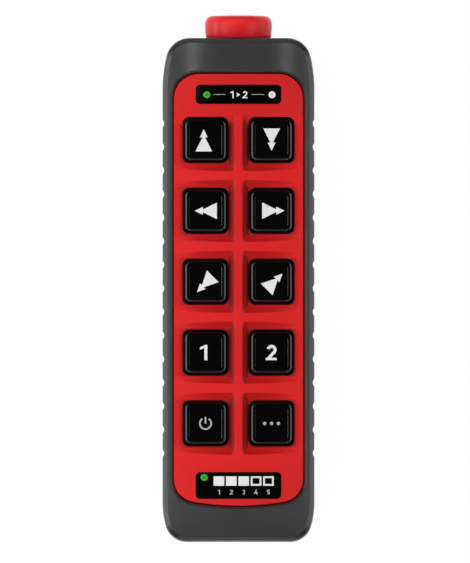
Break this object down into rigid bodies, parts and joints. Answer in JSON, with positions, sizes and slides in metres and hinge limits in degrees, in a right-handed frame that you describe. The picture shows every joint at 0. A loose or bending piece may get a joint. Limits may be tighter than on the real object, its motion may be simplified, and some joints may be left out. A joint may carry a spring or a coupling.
{
  "type": "crane radio remote control",
  "caption": "Hand-held radio remote control for a crane: charcoal case with grip notches, red fascia with sunk square push keys, status windows and a red mushroom stop button at the top end.",
  "frame": {"origin": "middle of the case's flat back face, on the back plane", "axes": "+Z out of the key face, +Y along the case towards the stop button, +X to the right with the keys facing the viewer and the stop button up"},
  "size_m": [0.0644, 0.2238, 0.0416],
  "materials": {
    "case_charcoal": "fine satin moulding grain",
    "fascia_red": "satin moulded, smooth",
    "key_black": "smooth, half gloss",
    "silicone_black": "matt silicone",
    "window_black": "polished",
    "lamp_green": "clear tinted lens",
    "lamp_white": "milky lens",
    "stop_red": "polished moulding",
    "nylon_black": "moulded nylon",
    "zinc_steel": "zinc plated",
    "spring_steel": "drawn wire and strip",
    "brass": "knurled outside, threaded inside",
    "board_green": "solder mask",
    "chip_black": "moulded packages",
    "tin_can": "tinned sheet",
    "cell_wrap": "shrink sleeve, plain",
    "seal_grey": "closed-cell rubber"
  },
  "bodies": {
    "housing": {"rear_shell": "case_charcoal", "front_shell": "case_charcoal", "case_seal": "seal_grey", "case_screws": "zinc_steel", "clip_inserts": "brass", "fascia": "fascia_red", "status_window": "window_black", "lower_window": "window_black", "status_pipe_left": "lamp_green", "status_pipe_right": "lamp_white", "lower_pipe": "lamp_green", "key_mat": "silicone_black", "switch_bodies": "chip_black", "circuit_board": "board_green", "board_screws": "zinc_steel", "lamp_chips": "lamp_white", "radio_module": "tin_can", "controller_chip": "chip_black", "antenna": "brass", "stop_bush": "nylon_black", "stop_gasket": "seal_grey", "stop_nut": "zinc_steel", "stop_spring": "spring_steel", "stop_contact_block": "nylon_black", "battery_cells": "cell_wrap", "spring_contacts": "spring_steel", "plate_contacts": "spring_steel"},
    "key_row1_left": {"key_row1_left": "key_black", "plunger_row1_left": "nylon_black"},
    "key_row1_right": {"key_row1_right": "key_black", "plunger_row1_right": "nylon_black"},
    "key_row2_left": {"key_row2_left": "key_black", "plunger_row2_left": "nylon_black"},
    "key_row2_right": {"key_row2_right": "key_black", "plunger_row2_right": "nylon_black"},
    "key_row3_left": {"key_row3_left": "key_black", "plunger_row3_left": "nylon_black"},
    "key_row3_right": {"key_row3_right": "key_black", "plunger_row3_right": "nylon_black"},
    "key_row4_left": {"key_row4_left": "key_black", "plunger_row4_left": "nylon_black"},
    "key_row4_right": {"key_row4_right": "key_black", "plunger_row4_right": "nylon_black"},
    "key_row5_left": {"key_row5_left": "key_black", "plunger_row5_left": "nylon_black"},
    "key_row5_right": {"key_row5_right": "key_black", "plunger_row5_right": "nylon_black"},
    "stop_plunger": {"stop_actuator": "nylon_black"},
    "stop_head": {"stop_head": "stop_red", "stop_shaft": "zinc_steel"},
    "battery_door": {"battery_door": "case_charcoal", "door_seal": "seal_grey", "door_screws": "zinc_steel"}
  },
  "joints": [
    {"name": "press_row1_left", "type": "slide", "parent": "housing", "child": "key_row1_left", "axis": [0, 0, -1], "range_m": [0, 0.0015], "stiffness_N_per_m": 700, "springref_m": -0.0015},
    {"name": "press_row1_right", "type": "slide", "parent": "housing", "child": "key_row1_right", "axis": [0, 0, -1], "range_m": [0, 0.0015], "stiffness_N_per_m": 700, "springref_m": -0.0015},
    {"name": "press_row2_left", "type": "slide", "parent": "housing", "child": "key_row2_left", "axis": [0, 0, -1], "range_m": [0, 0.0015], "stiffness_N_per_m": 700, "springref_m": -0.0015},
    {"name": "press_row2_right", "type": "slide", "parent": "housing", "child": "key_row2_right", "axis": [0, 0, -1], "range_m": [0, 0.0015], "stiffness_N_per_m": 700, "springref_m": -0.0015},
    {"name": "press_row3_left", "type": "slide", "parent": "housing", "child": "key_row3_left", "axis": [0, 0, -1], "range_m": [0, 0.0015], "stiffness_N_per_m": 700, "springref_m": -0.0015},
    {"name": "press_row3_right", "type": "slide", "parent": "housing", "child": "key_row3_right", "axis": [0, 0, -1], "range_m": [0, 0.0015], "stiffness_N_per_m": 700, "springref_m": -0.0015},
    {"name": "press_row4_left", "type": "slide", "parent": "housing", "child": "key_row4_left", "axis": [0, 0, -1], "range_m": [0, 0.0015], "stiffness_N_per_m": 700, "springref_m": -0.0015},
    {"name": "press_row4_right", "type": "slide", "parent": "housing", "child": "key_row4_right", "axis": [0, 0, -1], "range_m": [0, 0.0015], "stiffness_N_per_m": 700, "springref_m": -0.0015},
    {"name": "press_row5_left", "type": "slide", "parent": "housing", "child": "key_row5_left", "axis": [0, 0, -1], "range_m": [0, 0.0015], "stiffness_N_per_m": 700, "springref_m": -0.0015},
    {"name": "press_row5_right", "type": "slide", "parent": "housing", "child": "key_row5_right", "axis": [0, 0, -1], "range_m": [0, 0.0015], "stiffness_N_per_m": 700, "springref_m": -0.0015},
    {"name": "stop_push", "type": "slide", "parent": "housing", "child": "stop_plunger", "axis": [0, -1, 0], "range_m": [0, 0.004], "stiffness_N_per_m": 2500, "springref_m": -0.003, "deforming": ["stop_spring"]},
    {"name": "stop_twist", "type": "hinge", "parent": "stop_plunger", "child": "stop_head", "pos_m": [0, 0.107, 0.0189], "axis": [0, -1, 0], "range_deg": [0, 45], "stiffness_Nm_per_rad": 0.05, "springref_deg": -5.73},
    {"name": "door_lift", "type": "slide", "parent": "housing", "child": "battery_door", "axis": [0, 0, -1], "range_m": [0, 0.03]}
  ]
}
